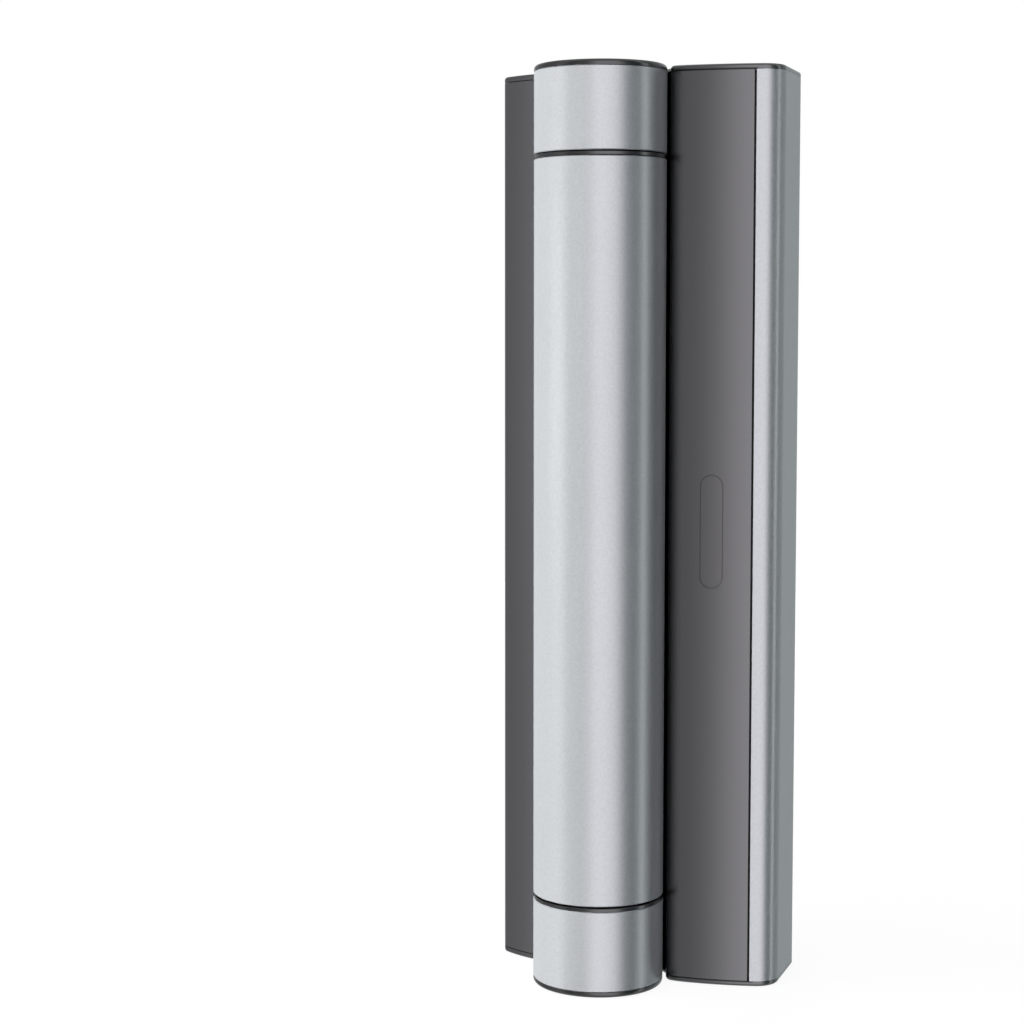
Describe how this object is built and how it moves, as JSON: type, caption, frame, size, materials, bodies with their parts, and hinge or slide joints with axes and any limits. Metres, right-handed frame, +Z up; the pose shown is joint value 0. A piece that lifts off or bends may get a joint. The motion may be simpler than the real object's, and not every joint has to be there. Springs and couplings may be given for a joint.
{
  "type": "motorised gate hinge",
  "caption": "Tall gate hinge whose turning barrel holds a gearmotor, with a deep leaf for the post and a slim leaf for the gate.",
  "frame": {"origin": "on the post leaf's mounting face, midway between its bolt holes", "axes": "+Z up along the pivot axis, +Y into the post, +X from the gate towards the post"},
  "size_m": [0.1386, 0.0847, 0.4236],
  "materials": {
    "anodised_aluminium": "fine satin natural anodising",
    "cover_paint": "satin anthracite powder coat",
    "leaf_cap_plastic": "satin anthracite moulding",
    "barrel_cap_plastic": "satin black moulding",
    "ring_plastic": "smooth black sliding plastic",
    "screw_steel": "zinc plated steel",
    "turned_steel": "turned steel",
    "spring_steel": "blackened spring steel",
    "gear_steel": "hardened ground steel",
    "bush_plastic": "ochre bearing plastic",
    "turned_aluminium": "turned aluminium",
    "gearbox_metal": "grey cast gearbox",
    "motor_can_metal": "black painted motor can",
    "brake_metal": "zinc plated brake housing",
    "encoder_plastic": "black plastic",
    "rubber": "matt black rubber",
    "circuit_board": "green circuit board",
    "terminal_plastic": "green terminal plastic",
    "relay_plastic": "dark relay plastic",
    "capacitor_sleeve": "shrunk black sleeve",
    "stop_plastic": "natural plastic"
  },
  "bodies": {
    "post_side": {"post_leaf_profile": "anodised_aluminium", "post_leaf_cover": "cover_paint", "post_leaf_top_cap": "leaf_cap_plastic", "post_leaf_bottom_cap": "leaf_cap_plastic", "post_cap_screws": "screw_steel", "upper_knuckle": "anodised_aluminium", "lower_knuckle": "anodised_aluminium", "knuckle_screws": "screw_steel", "upper_barrel_cap": "barrel_cap_plastic", "lower_barrel_cap": "barrel_cap_plastic", "upper_thrust_ring": "ring_plastic", "lower_thrust_ring": "ring_plastic", "pivot_pin": "turned_steel", "pivot_pin_screws": "screw_steel", "drive_shaft": "turned_steel", "shaft_washer": "turned_steel", "shaft_nut": "turned_steel", "planet_pins": "turned_steel", "carrier_plate": "turned_steel", "cable_grommet": "rubber", "control_board": "circuit_board", "terminal_block": "terminal_plastic", "board_relays": "relay_plastic", "board_capacitors": "capacitor_sleeve", "board_stops": "stop_plastic", "cover_seal": "rubber"},
    "gate_side": {"gate_leaf_profile": "anodised_aluminium", "gate_leaf_cover": "cover_paint", "gate_leaf_top_cap": "leaf_cap_plastic", "gate_leaf_bottom_cap": "leaf_cap_plastic", "gate_cap_screws": "screw_steel", "upper_bearing_housing": "turned_aluminium", "upper_bush": "bush_plastic", "upper_circlip": "spring_steel", "lower_bearing_housing": "turned_aluminium", "lower_bush": "bush_plastic", "lower_circlip": "spring_steel", "ring_gear": "gear_steel", "motor_flange": "turned_aluminium", "motor_flange_screws": "screw_steel", "gearbox_housing": "gearbox_metal", "motor_can": "motor_can_metal", "holding_brake": "brake_metal", "encoder_cover": "encoder_plastic", "motor_damper": "rubber"},
    "sun_pinion": {"sun_pinion": "gear_steel"},
    "planet_gear_1": {"planet_gear_1": "gear_steel"},
    "planet_gear_2": {"planet_gear_2": "gear_steel"},
    "planet_gear_3": {"planet_gear_3": "gear_steel"}
  },
  "joints": [
    {"name": "gate_swing", "type": "hinge", "parent": "post_side", "child": "gate_side", "pos_m": [-0.05, -0.0545, 0], "axis": [0, 0, 1], "range_deg": [0, 180]},
    {"name": "sun_spin", "type": "hinge", "parent": "gate_side", "child": "sun_pinion", "pos_m": [-0.05, -0.0545, 0], "axis": [0, 0, 1], "range_deg": [-720, 0]},
    {"name": "planet_spin_1", "type": "hinge", "parent": "post_side", "child": "planet_gear_1", "pos_m": [-0.05, -0.0395, 0], "axis": [0, 0, 1], "range_deg": [0, 540]},
    {"name": "planet_spin_2", "type": "hinge", "parent": "post_side", "child": "planet_gear_2", "pos_m": [-0.06299, -0.062, 0], "axis": [0, 0, 1], "range_deg": [0, 540]},
    {"name": "planet_spin_3", "type": "hinge", "parent": "post_side", "child": "planet_gear_3", "pos_m": [-0.03701, -0.062, 0], "axis": [0, 0, 1], "range_deg": [0, 540]}
  ],
  "couplings": [
    {"joint": "sun_spin", "follows": "gate_swing", "ratio": -4},
    {"joint": "planet_spin_1", "follows": "gate_swing", "ratio": 3},
    {"joint": "planet_spin_2", "follows": "gate_swing", "ratio": 3},
    {"joint": "planet_spin_3", "follows": "gate_swing", "ratio": 3}
  ]
}
